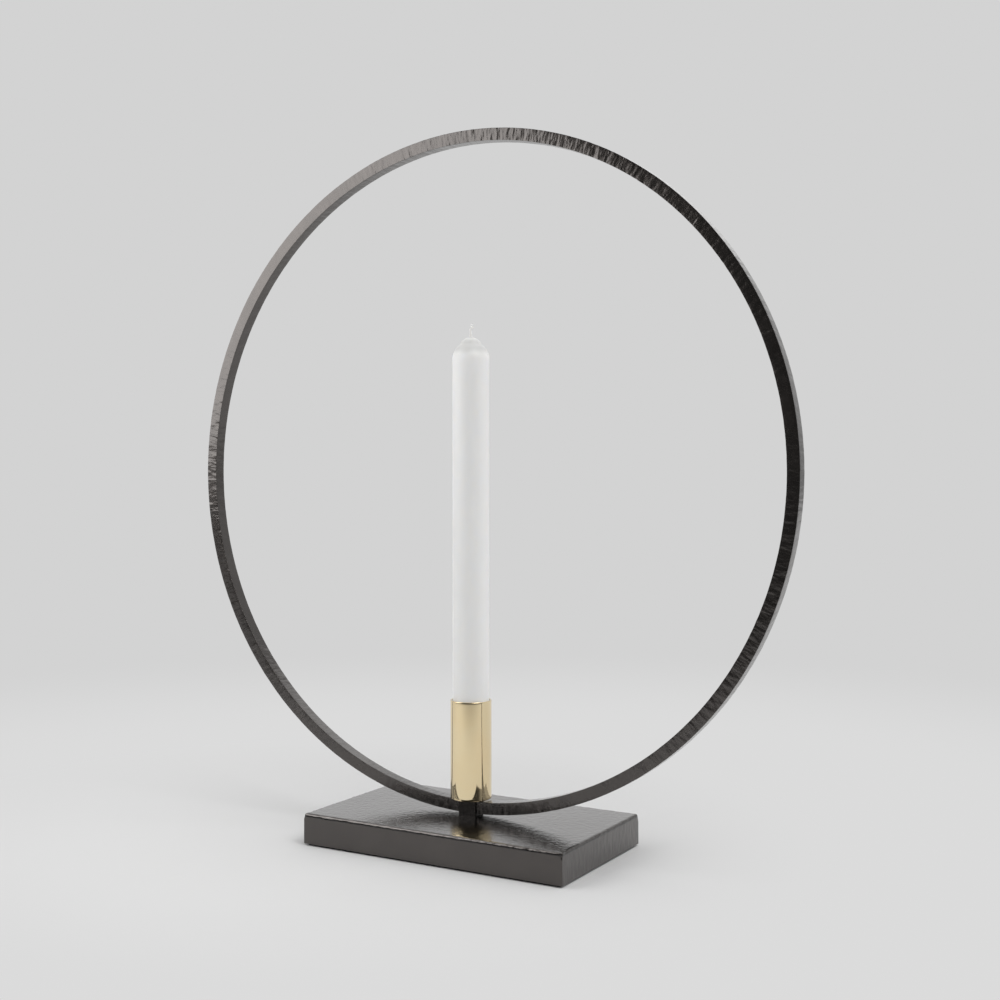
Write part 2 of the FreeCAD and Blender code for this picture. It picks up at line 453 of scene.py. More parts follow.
def block_mesh(name, low, high, edges, step, waver, hollow, draft=0.0):
    """A box with rounded edges over a fine grid.

    edges gives the rounding of the upper, upright and lower edges, hollow(point, normal) how
    deep a point of the surface sinks, and draft how far the sides lean in towards the top.
    """
    upper, upright, lower = edges
    wide = max(upper, upright)
    blend_start = 2.5
    places = [spaced(low.x, high.x, wide, wide, step.x),
              spaced(low.y, high.y, wide, wide, step.y),
              spaced(low.z, high.z, lower, upper, step.z)]
    middle, half = (low + high) / 2, (high - low) / 2
    block = bmesh.new()
    made = {}

    def formed(sharp):
        """The rounded place and the normal of a point of the sharp-edged box.

        An upright edge widens to the level edge's rounding near its ends, from blend_start
        roundings away.
        """
        x, y, z = sharp
        plain = upper if z > 0 else lower
        radius = edge_radius(sharp, plain, waver)
        side = min(half.x - abs(x), half.y - abs(y))
        roof = half.z - abs(z)
        lean, rise = (0.0, 1.0) if roof < side else (1.0, 0.0)
        inset, drop = side, roof
        if side < radius and roof < radius:
            corner = Vector((radius - side, radius - roof))
            lean, rise = corner.normalized()
            inset, drop = radius * (1 - lean), radius * (1 - rise)
        share = smooth_step(abs(z), half.z - blend_start * radius, half.z - radius)
        turn = upright + (max(radius, upright) - upright) * share
        core = Vector((max(turn - half.x, min(half.x - turn, x)),
                       max(turn - half.y, min(half.y - turn, y)), 0))
        away = Vector((x, y, 0)) - core
        if away.length > 0:
            away.normalize()
            core += away * (turn - inset)
        up = 1 if z > 0 else -1
        normal = (away * lean + Vector((0, 0, up * rise))).normalized()
        core -= away * draft * (z + half.z) / (2 * half.z) * lean
        return core + Vector((0, 0, up * (half.z - drop))), normal

    def corner(index):
        """The grid point of an index, made the first time that it is asked for."""
        if index not in made:
            place, normal = formed([places[k][index[k]] - middle[k] for k in range(3)])
            made[index] = block.verts.new(middle + place - normal * hollow(place, normal))
        return made[index]

    for k in range(3):
        a, b = (k + 1) % 3, (k + 2) % 3
        for end in (0, len(places[k]) - 1):
            for i in range(len(places[a]) - 1):
                for j in range(len(places[b]) - 1):
                    face = []
                    for di, dj in ((0, 0), (1, 0), (1, 1), (0, 1)):
                        index = [0, 0, 0]
                        index[k], index[a], index[b] = end, i + di, j + dj
                        face.append(corner(tuple(index)))
                    block.faces.new(face)
    bmesh.ops.recalc_face_normals(block, faces=block.faces)
    mesh = bpy.data.meshes.new(name)
    block.to_mesh(mesh)
    block.free()
    return mesh


def bar_ring_mesh(name, inner_radius, outer_radius, depth, edge, waver, crown, hollow, segments,
                  step):
    """The hoop's rectangular bar with rounded edges, swept round its circle.

    hollow(point) gives how deep the skin sinks, and crown how far the faces fall off towards
    their edges. The waver and the hollows are read nearer to the bar's middle line than the
    skin is, so that they run on across its edges.
    """
    spread_share = 0.4
    crown_start = 0.65
    places_r = spaced(inner_radius, outer_radius, edge, edge, step)
    places_y = spaced(-depth / 2, depth / 2, edge, edge, step)
    sharp = [(r, places_y[0]) for r in places_r]
    sharp += [(places_r[-1], y) for y in places_y[1:]]
    sharp += [(r, places_y[-1]) for r in reversed(places_r[:-1])]
    sharp += [(places_r[0], y) for y in reversed(places_y[1:-1])]
    middle_r = (inner_radius + outer_radius) / 2
    half_r, half_y = (outer_radius - inner_radius) / 2, depth / 2
    rings = []
    for turn in turns(segments):
        out = Vector((math.cos(turn), 0, math.sin(turn)))
        ring = []
        for r, y in sharp:
            place = out * (middle_r + spread_share * (r - middle_r))
            place += Vector((0, spread_share * y, 0))
            radius = edge_radius(place, edge, waver)
            core_r = max(radius - half_r, min(half_r - radius, r - middle_r))
            core_y = max(radius - half_y, min(half_y - radius, y))
            away = Vector((r - middle_r - core_r, y - core_y)).normalized()
            rim = smooth_step(min(abs(r - middle_r) / half_r, abs(y) / half_y), crown_start, 1.0)
            sink = radius - hollow(place) - crown * rim
            ring.append(hoop_centre + out * (middle_r + core_r + away.x * sink)
                        + Vector((0, core_y + away.y * sink, 0)))
        rings.append(ring)
    return ring_mesh(name, rings, looped=True)


def cylinder_cutter(radius, bottom, top):
    rings = [circle(radius, z, CUTTER_SIDES) for z in (bottom, top)]
    return ring_mesh("cutter", rings, looped=False)


def box_cutter(low, high):
    corners = ((low.x, low.y), (high.x, low.y), (high.x, high.y), (low.x, high.y))
    rings = [[Vector((x, y, z)) for x, y in corners] for z in (low.z, high.z)]
    return ring_mesh("cutter", rings, looped=False)


def cut(piece, cutters):
    """Cuts the closed cutter meshes out of a piece's mesh."""
    for cutter in cutters:
        tool = linked("cutter", cutter)
        step = piece.modifiers.new("cut", "BOOLEAN")
        step.operation, step.object, step.solver = "DIFFERENCE", tool, "EXACT"
        graph = bpy.context.evaluated_depsgraph_get()
        result = bpy.data.meshes.new_from_object(piece.evaluated_get(graph))
        piece.modifiers.remove(step)
        piece.data = result
        bpy.data.objects.remove(tool)
    smooth(piece.data)


# Wiring of materials

class Wiring:
    """Adds nodes to one node tree and joins them. A value is a number, a vector or a socket."""

    def __init__(self, tree):
        self.tree = tree

    def node(self, kind, **settings):
        made = self.tree.nodes.new(kind)
        for key, value in settings.items():
            setattr(made, key, value)
        return made

    def first(self, kind):
        """The first node of a kind that the tree already has."""
        return next(n for n in self.tree.nodes if n.type == kind)

    def join(self, source, target):
        self.tree.links.new(source, target)

    def feed(self, socket, value):
        if isinstance(value, bpy.types.NodeSocket):
            self.join(value, socket)
        else:
            socket.default_value = value

    def fed(self, made, *values):
        """Gives the values to a node's inputs, in their order, and returns its outputs."""
        for socket, value in zip(made.inputs, values):
            self.feed(socket, value)
        return made.outputs

    def math(self, operation, *values):
        return self.fed(self.node("ShaderNodeMath", operation=operation), *values)[0]

    def vector_math(self, operation, *values):
        return self.fed(self.node("ShaderNodeVectorMath", operation=operation), *values)

    def remap(self, value, from_low, from_high, to_low=0.0, to_high=1.0):
        """Eases a value from one span to another, and holds it past the span's ends."""
        made = self.node("ShaderNodeMapRange", interpolation_type="SMOOTHSTEP")
        return self.fed(made, value, from_low, from_high, to_low, to_high)["Result"]

    def noise(self, vector, scale, detail=2.0, roughness=0.5):
        """Smooth noise from 0 to 1, whose scale is in waves per metre."""
        made = self.node("ShaderNodeTexNoise")
        self.join(vector, made.inputs["Vector"])
        self.feed(made.inputs["Scale"], scale)
        self.feed(made.inputs["Detail"], detail)
        self.feed(made.inputs["Roughness"], roughness)
        return made.outputs["Fac"]

    def place(self):
        return self.node("ShaderNodeTexCoord").outputs["Object"]

    def parts(self, vector):
        """A vector's outputs X, Y and Z."""
        return self.fed(self.node("ShaderNodeSeparateXYZ"), vector)

    def stretched(self, vector, shares):
        """A vector times shares: a small share draws a pattern out along its axis."""
        made = self.node("ShaderNodeMapping")
        self.join(vector, made.inputs["Vector"])
        made.inputs["Scale"].default_value = shares
        return made.outputs["Vector"]

    def mixed(self, factor, first, second):
        made = self.node("ShaderNodeMix", data_type="RGBA")
        self.feed(made.inputs["Factor"], factor)
        self.feed(made.inputs["A"], first)
        self.feed(made.inputs["B"], second)
        return made.outputs["Result"]

    def group(self, group, **values):
        made = self.node("ShaderNodeGroup", node_tree=group)
        for key, value in values.items():
            self.feed(made.inputs[key.replace("_", " ").capitalize()], value)
        return made.outputs[0]


def once(store, name, build):
    """The named item of a store, built the first time that it is asked for."""
    return store.get(name) or build(name)


def colour(value, share=1.0):
    """A colour times a share, as the four numbers that a socket takes."""
    return (value[0] * share, value[1] * share, value[2] * share, 1.0)


# Shader parts that several materials share

def new_group(name, inputs, output):
    """The wiring, the inputs and the output of a new shader node group of plain numbers."""
    group = bpy.data.node_groups.new(name, "ShaderNodeTree")
    for label, default in inputs:
        socket = group.interface.new_socket(label, in_out="INPUT", socket_type="NodeSocketFloat")
        socket.default_value = default
    group.interface.new_socket(output, in_out="OUTPUT", socket_type="NodeSocketFloat")
    w = Wiring(group)
    return w, w.node("NodeGroupInput").outputs, w.node("NodeGroupOutput").inputs[output]


def build_cast_ripple(name):
    """Height of a cast and plated surface: soft ripples and a few small pits."""
    w, given, height = new_group(name, (
        ("Ripple size", 2.0 * MM), ("Ripple height", 0.02 * MM),
        ("Pit size", 1.6 * MM), ("Pit depth", 0.03 * MM)), "Height")
    pit_edge, pit_floor = 0.66, 0.86
    place = w.place()
    ripple = w.noise(place, w.math("DIVIDE", 1.0, given["Ripple size"]), detail=1.0,
                     roughness=0.4)
    pits = w.noise(place, w.math("DIVIDE", 1.0, given["Pit size"]), detail=0.0)
    tall = w.math("MULTIPLY", ripple, given["Ripple height"])
    deep = w.math("MULTIPLY", w.remap(pits, pit_edge, pit_floor), given["Pit depth"])
    w.join(w.math("SUBTRACT", tall, deep), height)
    return w.tree


def build_handling_marks(name):
    """Mask of the faint smears that handling leaves."""
    w, given, smear = new_group(name, (("Smear size", 30 * MM),), "Smear")
    clean, smeared_fully = 0.38, 0.66
    cloud = w.noise(w.place(), w.math("DIVIDE", 1.0, given["Smear size"]), detail=4.0,
                    roughness=0.62)
    w.join(w.remap(cloud, clean, smeared_fully), smear)
    return w.tree


def new_material(name):
    """A new material, its wiring and its shader."""
    material = bpy.data.materials.new(name)
    material.use_nodes = True
    w = Wiring(material.node_tree)
    return material, w, w.first("BSDF_PRINCIPLED")


def settle(shader, values):
    """Sets sockets of a shader to values that don't vary."""
    for label, value in values.items():
        shader.inputs[label].default_value = value


def tinted(w, shader, grain, span, low, high):
    """Leads a colour to the shader that goes from low to high over the grain's span."""
    tint = w.mixed(w.remap(grain, *span), low, high)
    w.join(tint, shader.inputs["Base Color"])
    return tint


def smeared(w, shader, roughness, rise, **sizes):
    """Leads a roughness to the shader that rises where the piece was handled."""
    marks = w.group(once(bpy.data.node_groups, "handling_marks", build_handling_marks), **sizes)
    w.join(w.math("MULTIPLY_ADD", marks, rise, roughness), shader.inputs["Roughness"])


def bumped(w, shader, grain, tall, rest=0.0):
    """Leads a height in metres to the shader's normals: a grain of some height on the rest."""
    bump = w.node("ShaderNodeBump")
    bump.inputs["Distance"].default_value = 1.0
    w.join(w.math("MULTIPLY_ADD", grain, tall, rest), bump.inputs["Height"])
    w.join(bump.outputs["Normal"], shader.inputs["Normal"])
    w.join(bump.outputs["Normal"], shader.inputs["Coat Normal"])


# Materials

def along_hoop(w, place):
    """The place drawn together across the hoop's bar, for streaks that run across it."""
    across_share = 0.38
    centred = w.vector_math("SUBTRACT", place, hoop_centre)[0]
    flat = w.stretched(centred, (1.0, 0.0, 1.0))
    reach = w.vector_math("LENGTH", flat)["Value"]
    factor = w.math("ADD", across_share,
                    w.math("DIVIDE", (1 - across_share) * hoop_radius, reach))
    deep = w.stretched(centred, (0.0, across_share, 0.0))
    return w.vector_math("ADD", w.vector_math("MULTIPLY", flat, factor)[0], deep)[0]


def nickel(name, painted_light_share=1.0, rough=0.0, ripples=1.0):
    """Glossy dark plating under clear lacquer, its plain colour and the height of its ripples."""
    material, w, shader = new_material(name)
    values = finish()
    # A painted light share below 1 darkens the plating's colour and coat as painted shade
    tone_change = 0.05
    smear_rise = 0.04
    ripple = w.group(once(bpy.data.node_groups, "cast_ripple", build_cast_ripple),
                     ripple_size=values.ripple_size,
                     ripple_height=values.ripple_height * ripples)
    tone = w.noise(w.place(), scale=60.0, detail=3.0, roughness=0.6)
    plain = tinted(w, shader, tone, (0.35, 0.65),
                   colour(values.plating, (1 - tone_change) * painted_light_share),
                   colour(values.plating, (1 + tone_change) * painted_light_share))
    smeared(w, shader, values.plating_roughness + rough - smear_rise / 2, smear_rise)
    settle(shader, {"Metallic": 1.0, "Coat Weight": painted_light_share,
                    "Coat Roughness": values.lacquer_roughness + rough})
    return material, w, shader, plain, ripple


def hoop_nickel(name):
    """The hoop's plating, with streaks across its bar, and painted shade round the saddle."""
    material, w, shader, plain, height = nickel(name, rough=0.10)
    values = finish()
    painted_shade_height = 6 * MM
    painted_shade_patches = 12 * MM
    painted_shade_fade = 9 * MM
    painted_shade_share = 0.4
    place = w.place()
    streaks = w.noise(along_hoop(w, place), 1 / values.streak_size, detail=1.0, roughness=0.45)
    bumped(w, shader, streaks, values.streak_height, height)
    # Painted shade: colour and coat darken near the hoop's bottom by the saddle, with a patchy
    # edge
    shade_mottle = w.noise(place, scale=650.0, roughness=0.6)
    rise = w.math("MULTIPLY_ADD", shade_mottle, painted_shade_patches,
                  w.math("SUBTRACT", w.parts(place)["Z"], hoop_low.z + painted_shade_height))
    tinted(w, shader, rise, (0.0, painted_shade_fade), colour(values.plating, painted_shade_share), plain)
    w.join(w.remap(rise, 0.0, painted_shade_fade, painted_shade_share, 1.0), shader.inputs["Coat Weight"])
    return material


def foot_nickel(name):
    """The foot's plating, with upright file streaks and a ragged line of painted shade below its
    top.
    """
    material, w, shader, plain, height = nickel(name, rough=0.04, ripples=1.5)
    values = finish()
    shade_line_drop = 1.15 * MM
    shade_line_wander = 1.0 * MM
    shade_line_core = 0.2 * MM
    shade_line_reach = 0.55 * MM
    shade_line_strength = 0.95
    shade_line_share = 0.15
    place = w.place()
    filed = w.noise(w.stretched(place, (1.0, 1.0, 0.12)), 1 / values.file_size, detail=1.0)
    bumped(w, shader, filed, values.file_height, height)
    # Painted shade: a ragged dark line just under the top edge's rounding
    ragged = w.noise(w.stretched(place, (1.0, 1.0, 0.3)), scale=900.0, roughness=0.6)
    drop = w.math("SUBTRACT", foot_high.z, w.parts(place)["Z"])
    off = w.math("ABSOLUTE", w.math("SUBTRACT", w.math("MULTIPLY_ADD", ragged, shade_line_wander,
                                                       shade_line_drop), drop))
    line = w.remap(off, shade_line_core, shade_line_reach, shade_line_strength, 0.0)
    w.join(w.mixed(line, plain, colour(values.plating, shade_line_share)),
           shader.inputs["Base Color"])
    return material


def filed_nickel(name):
    """The saddle's plating, filed upright, with painted shade that darkens its colour and coat.
    """
    # Painted shade: the same plating at 0.4 of its colour and coat
    material, w, shader, _, height = nickel(name, painted_light_share=0.4, rough=0.10)
    filed = w.noise(w.stretched(w.place(), (1.0, 1.0, 0.06)), scale=1400.0, roughness=0.6)
    bumped(w, shader, filed, finish().file_height, height)
    return material


def polished_brass(name):
    """Pale brass, polished round its axis and lacquered."""
    material, w, shader = new_material(name)
    values = finish()
    warm_shares = (1.0, 0.965, 0.92)
    warm = [part * share for part, share in zip(values.brass, warm_shares)]
    line_height = 0.00025 * MM
    wave_height = 0.006 * MM
    place = w.place()
    tone = w.noise(place, scale=45.0, detail=3.0, roughness=0.55)
    tinted(w, shader, tone, (0.35, 0.7), colour(values.brass), colour(warm))
    smeared(w, shader, values.brass_roughness, rise=0.03, smear_size=12 * MM)
    settle(shader, {"Metallic": 1.0, "Coat Weight": 0.5, "Coat Roughness": 0.03})
    lines = w.noise(w.stretched(place, (0.02, 0.02, 1.0)), scale=5200.0, roughness=0.6)
    waves = w.noise(place, scale=90.0, detail=1.0, roughness=0.4)
    bumped(w, shader, lines, line_height, w.math("MULTIPLY", waves, wave_height))
    return material


def zinc_plate(name):
    """Bright zinc on the screw and washer."""
    material, w, shader = new_material(name)
    spangle_height = 0.004 * MM
    spangle = w.noise(w.place(), scale=700.0)
    tinted(w, shader, spangle, (0.4, 0.6), colour(finish().zinc, 0.86), colour(finish().zinc))
    smeared(w, shader, roughness=0.28, rise=0.12, smear_size=4 * MM)
    settle(shader, {"Metallic": 1.0})
    bumped(w, shader, spangle, spangle_height)
    return material


def white_wax(name):
    """Smooth, slightly translucent wax with a faint bloom, and painted shade that greys the nose.
    """
    material, w, shader = new_material(name)
    values = finish()
    shoulder = wax_high.z - shape().nose_length
    nose_shade_start, nose_shade_end = shoulder - 1.5 * MM, shoulder + 4.5 * MM
    nose_shade_share = 0.68
    dent_height = 0.012 * MM
    place = w.place()
    bloom = w.noise(w.stretched(place, (1.0, 1.0, 0.15)), scale=120.0, detail=3.0,
                    roughness=0.55)
    body = tinted(w, shader, bloom, (0.35, 0.7), colour(values.wax), colour(values.wax, 1.03))
    # Painted shade: the wax's colour greys from just below the shoulder up the nose
    tinted(w, shader, w.parts(place)["Z"], (nose_shade_start, nose_shade_end), body,
           colour(values.wax, nose_shade_share))
    smeared(w, shader, roughness=0.38, rise=0.08, smear_size=20 * MM)
    settle(shader, {"Subsurface Weight": 0.6, "Subsurface Radius": (1.0, 0.95, 0.88),
                    "Subsurface Scale": 6 * MM, "IOR": 1.44})
    bumped(w, shader, w.noise(place, scale=260.0), dent_height)
    return material


def waxed_cotton(name):
    """Braided cotton soaked in wax."""
    material, w, shader = new_material(name)
    fibre_height = 0.008 * MM
    fibre = w.noise(w.stretched(w.place(), (1.0, 1.0, 0.3)), scale=4200.0, detail=3.0,
                    roughness=0.6)
    tinted(w, shader, fibre, (0.3, 0.7), colour(finish().wick, 0.95), colour(finish().wick))
    settle(shader, {"Roughness": 0.55, "Subsurface Weight": 0.5,
                    "Subsurface Radius": (1.0, 0.95, 0.88), "Subsurface Scale": 1.5 * MM})
    bumped(w, shader, fibre, fibre_height)
    return material


def black_felt(name):
    """Pressed felt with a short nap."""
    material, w, shader = new_material(name)
    nap_height = 0.15 * MM
    nap = w.noise(w.place(), scale=2600.0, detail=4.0, roughness=0.7)
    tinted(w, shader, nap, (0.35, 0.7), colour(finish().felt), colour(finish().felt, 2.6))
    settle(shader, {"Roughness": 0.95, "Sheen Weight": 0.15, "Sheen Roughness": 0.6})
    bumped(w, shader, nap, nap_height)
    return material


# Pieces

def coat_cad_node(node, material):
    """Gives a CAD node that keeps its own shape a finish."""
    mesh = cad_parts[node].data
    mesh.materials.clear()
    mesh.materials.append(material)


def finished(piece, material, body, slot, *nodes):
    """Finishes a piece, puts it on its body and lets it stand for its CAD nodes."""
    piece.data.materials.clear()
    piece.data.materials.append(material)
    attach(piece, body)
    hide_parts(*nodes)
    return piece


class CANDLERING_OT_hoop(bpy.types.Operator):
    """Build the cast hoop round the candle"""
    bl_idname = "candlering.hoop"
    bl_label = "Hoop"

    def execute(self, context):
        sizes = shape()

        def hollow(place):
            return cast_hollow(place, HOOP_CAST_SHARE * sizes.cast_size, sizes.cast_depth)

        mesh = bar_ring_mesh("hoop_bar", hoop_inner_radius, hoop_radius, hoop_depth,
                             sizes.bar_edge, sizes.edge_waver, sizes.bar_crown, hollow,
                             HOOP_SEGMENTS, HOOP_STEP)
        smooth(mesh)
        finished(linked("hoop_bar", mesh), hoop_nickel("hoop_finish"), "stand", "black_nickel",
                 "hoop")
        return {"FINISHED"}


class CANDLERING_OT_foot(bpy.types.Operator):
    """Build the cast foot block with its key pocket and counterbore"""
    bl_idname = "candlering.foot"
    bl_label = "Foot"

    def execute(self, context):
        sizes = shape()

        def hollow(place, normal):
            if abs(normal.z) < 0.5:
                place = Vector((place.x, place.y, place.z * SIDE_CAST_SHARE))
            return cast_hollow(place, sizes.cast_size, sizes.cast_depth)

        mesh = block_mesh("foot_casting", foot_low, foot_high,
                          (sizes.foot_upper_edge, sizes.foot_upright_edge, sizes.foot_lower_edge),
                          FOOT_STEP, sizes.edge_waver, hollow, sizes.foot_draft)
        piece = linked("foot_casting", mesh)
        key_gap = Vector((KEY_GAP, KEY_GAP, 0))
        key_top = Vector((saddle_high.x, saddle_high.y, foot_high.z + OVERRUN))
        cut(piece, [
            box_cutter(saddle_low - key_gap, key_top + key_gap),
            cylinder_cutter(washer_high.x + COUNTERBORE_GAP, foot_low.z - OVERRUN, washer_high.z),
            cylinder_cutter(screw_hole_radius, foot_low.z, foot_high.z),
        ])
        finished(piece, foot_nickel("foot_finish"), "stand", "black_nickel", "foot_block")
        return {"FINISHED"}


class CANDLERING_OT_felt(bpy.types.Operator):
    """Build the felt pad under the foot"""
    bl_idname = "candlering.felt"
    bl_label = "Felt pad"

    def execute(self, context):
        def hollow(place, normal):
            return (1 - abs(normal.z)) * hills(place / NAP_SIZE) * NAP_DEPTH

        mesh = block_mesh("felt_sheet", felt_low, felt_high, (FELT_EDGE, FELT_EDGE, FELT_EDGE),
                          FELT_STEP, FELT_WAVER, hollow)
        smooth(mesh)
        piece = finished(linked("felt_sheet", mesh), black_felt("felt_finish"), "stand", "felt",
                         "felt_pad")
        return {"FINISHED"}


class CANDLERING_OT_saddle(bpy.types.Operator):
    """Build the filed saddle that the hoop runs through"""
    bl_idname = "candlering.saddle"
    bl_label = "Saddle"

    def execute(self, context):
        sizes = shape()

        def hollow(place, normal):
            marks = Vector((place.x / FILE_WIDTH, place.y / FILE_WIDTH, place.z / FILE_LENGTH))
            return FILE_DEPTH * hills(marks) * (1 - abs(normal.z))

        edge = sizes.saddle_edge
        mesh = block_mesh("saddle_sleeve", saddle_low, saddle_high, (edge, edge, edge),
                          SADDLE_STEP, sizes.edge_waver, hollow)
        piece = linked("saddle_sleeve", mesh)
        channel = bar_ring_mesh("cutter", hoop_inner_radius - BAR_GAP, hoop_radius + BAR_GAP,
                                hoop_depth + 2 * BAR_GAP, sizes.bar_edge, 0, 0, lambda place: 0,
                                CHANNEL_SEGMENTS, CHANNEL_STEP)
        cut(piece, [channel, cylinder_cutter(screw_hole_radius, saddle_low.z - OVERRUN,
                                             saddle_high.z + OVERRUN)])
        finished(piece, filed_nickel("saddle_finish"), "stand", "black_nickel", "saddle")
        return {"FINISHED"}


class CANDLERING_OT_cup(bpy.types.Operator):
    """Build the polished brass cup and finish its plug"""
    bl_idname = "candlering.cup"
    bl_label = "Cup"

    def execute(self, context):
        rim = shape().cup_rim
        bore, outer = cup_bore_radius, cup_radius
        low, high = cup_low.z, cup_high.z
        bulge = rim * (1 - math.sqrt(0.5))
        profile = closed_profile(
            ((outer, low + rim), CUP_WALL_ROWS),
            ((outer, high - rim), CUP_EDGE_ROWS, bulge),
            ((outer - rim, high), CUP_RIM_ROWS),
            ((bore + rim, high), CUP_EDGE_ROWS, bulge),
            ((bore, high - rim), CUP_WALL_ROWS),
            ((bore, low), CUP_FOOT_ROWS),
            ((outer - rim, low), CUP_EDGE_ROWS, bulge))
        mesh = lathed_mesh("cup_wall", profile, CUP_SEGMENTS)
        smooth(mesh)
        brass = once(bpy.data.materials, "brass_finish", polished_brass)
        finished(linked("cup_wall", mesh), brass, "stand", "pale_brass", "cup_tube")
        coat_cad_node("cup_plug", brass)
        return {"FINISHED"}


class CANDLERING_OT_fixings(bpy.types.Operator):
    """Finish the screw and washer under the foot"""
    bl_idname = "candlering.fixings"
    bl_label = "Screw and washer"

    def execute(self, context):
        material = zinc_plate("zinc_finish")
        coat_cad_node("fixing_screw", material)
        coat_cad_node("washer", material)
        return {"FINISHED"}


class CANDLERING_OT_wax(bpy.types.Operator):
    """Build the candle's wax"""
    bl_idname = "candlering.wax"
    bl_label = "Candle wax"

    def execute(self, context):
        sizes = shape()
        bottom, top = wax_low.z, wax_high.z
        bore, radius = wax_bore_radius, wax_radius
        profile = closed_profile(
            ((bore, bottom), WAX_FOOT_ROWS),
            ((radius - WAX_EDGE, bottom), WAX_EDGE_ROWS),
            ((radius, bottom + WAX_EDGE), WAX_SIDE_ROWS),
            ((radius, top - sizes.nose_length), WAX_NOSE_ROWS, sizes.nose_bulge),
            ((sizes.dome_radius, top - sizes.dome_height), WAX_NOSE_ROWS, sizes.dome_bulge),
            ((bore, top), WAX_BORE_ROWS))

        def ripple(point):
            wide = math.hypot(point.x, point.y) / radius
            along = Vector((point.x, point.y, point.z * WAX_RIPPLE_STRETCH)) / WAX_RIPPLE_SIZE
            return wide * WAX_RIPPLE_DEPTH * hills(along)

        mesh = lathed_mesh("candle_stick", profile, WAX_SEGMENTS, ripple)
        smooth(mesh)
        finished(linked("candle_stick", mesh), white_wax("wax_finish"), "candle", "white_wax",
                 "candle_wax")
        return {"FINISHED"}


def wick_path(sizes):
    """Places along the wick, each its way aside, its height and its lean."""
    bend, angle = sizes.wick_jog_radius, sizes.wick_jog_angle
    jog = wax_high.z + sizes.wick_straight
    aside = 2 * bend * (1 - math.cos(angle))
    rise = 2 * bend * math.sin(angle)
    path = [(0.0, z, 0.0) for z in (wick_low.z, wick_low.z + WICK_FOOT)]
    path += [(0.0, wick_low.z + (wax_high.z - wick_low.z) * i / WICK_BURIED_ROWS, 0.0)
             for i in range(1, WICK_BURIED_ROWS)]
    path += [(0.0, wax_high.z + sizes.wick_straight * i / WICK_STRAIGHT_ROWS, 0.0)
             for i in range(WICK_STRAIGHT_ROWS)]
    for i in range(WICK_BEND_ROWS + 1):
        turn = angle * i / WICK_BEND_ROWS
        path.append((bend * (1 - math.cos(turn)), jog + bend * math.sin(turn), turn))
    for i in range(WICK_BEND_ROWS - 1, -1, -1):
        turn = angle * i / WICK_BEND_ROWS
        path.append((aside - bend * (1 - math.cos(turn)),
                     jog + rise - bend * math.sin(turn), turn))
    left = wick_high.z - jog - rise
    return path + [(aside, jog + rise + left * share, 0.0) for share in WICK_TIP_SHARES]


class CANDLERING_OT_wick(bpy.types.Operator):
    """Build the braided wick"""
    bl_idname = "candlering.wick"
    bl_label = "Wick"

    def execute(self, context):
        sizes = shape()
        heading = Vector((math.cos(sizes.wick_heading), math.sin(sizes.wick_heading), 0))
        across = Vector((-heading.y, heading.x, 0))
        path = wick_path(sizes)
        rings = []
        for shift, height, lean in path:
            along_side = heading * math.cos(lean) - Vector((0, 0, math.sin(lean)))
            middle = heading * shift + Vector((0, 0, height))
            end_share = WICK_TIP_WIDTH_SHARE if height == path[-1][1] else 1.0
            ring = []
            for turn in turns(WICK_SIDES):
                braid = (abs(math.sin(BRAID_STRANDS * turn + height / BRAID_LENGTH))
                         * abs(math.sin(BRAID_STRANDS * turn - height / BRAID_LENGTH)))
                width = sizes.wick_radius * (1 - BRAID_DEPTH + BRAID_DEPTH * braid) * end_share
                ring.append(middle + (along_side * math.cos(turn) + across * math.sin(turn))
                            * width)
            rings.append(ring)
        mesh = ring_mesh("wick_braid", rings, looped=False)
        smooth(mesh)
        finished(linked("wick_braid", mesh), waxed_cotton("wick_finish"), "candle",
                 "waxed_cotton", "candle_wick")
        return {"FINISHED"}


# Stage

# Where two of the softboxes aim, near the hoop's middle
BOX_AIM = (0, 0, 0.25)

# Each softbox: place, aim, width, height, the setting of its brightness and a share of it
SOFTBOXES = {
    "key_softbox": ((-0.550, -0.434, 0.485), (0, 0, 0.485), 0.690, 0.514, "key", 1.0),
    "high_softbox": ((-0.67, -0.32, 1.07), (0, -0.05, 0), 0.5, 0.56, "key", 0.8),
    "top_softbox": ((0.45, 0.15, 1.55), (0, 0, 0), 1.1, 1.1, "top", 1.0),
    "fill_softbox": ((1.12, -0.45, 1.45), BOX_AIM, 1.0, 1.0, "fill", 1.0),
    "back_softbox": ((-0.14, 1.14, 1.10), BOX_AIM, 0.74, 0.6, "back", 1.0),
}

# The room in reflections, by a direction's parts: how high its floor line reaches, from where
# to where it goes from front to back, and other changes: axis, start, end and factor
ROOM_LINE = (0.0, 0.14)
ROOM_BACK = (-0.35, 0.15)
ROOM_CHANGES = (("Z", 0.30, 0.48, 0.93), ("X", 0.0, 0.28, 0.76), ("X", 0.32, 0.50, 1.2))

# Floor, in metres from under the hoop: where the camera sees its glow set in, which is nearer
# on the right, how bright the glow is at first, and where it fades to the backdrop's colour
GLOW_START = (0.10, 0.27)
GLOW_RIGHT_SHARE = 0.3
GLOW_SHARE = 1.09
GLOW_FADE = (0.4, 0.9)

# Floor in reflections: where it glows behind the object and to its left, and where painted shade
# darkens its colour in front, along a level direction that points away from the camera
MIRROR_START = (0.1, 0.5)
MIRROR_LEFT = (-0.8, 0.55)
FLOOR_SHADE_SPAN = (-0.85, -0.22)
FLOOR_SHADE_AWAY = (-0.5, 0.866)
FLOOR_SHADE_SHARE = 0.33

# The camera's sensor width in millimetres, and the nearest place that it sees
SENSOR_WIDTH = 36
CLIP_START = 10 * MM


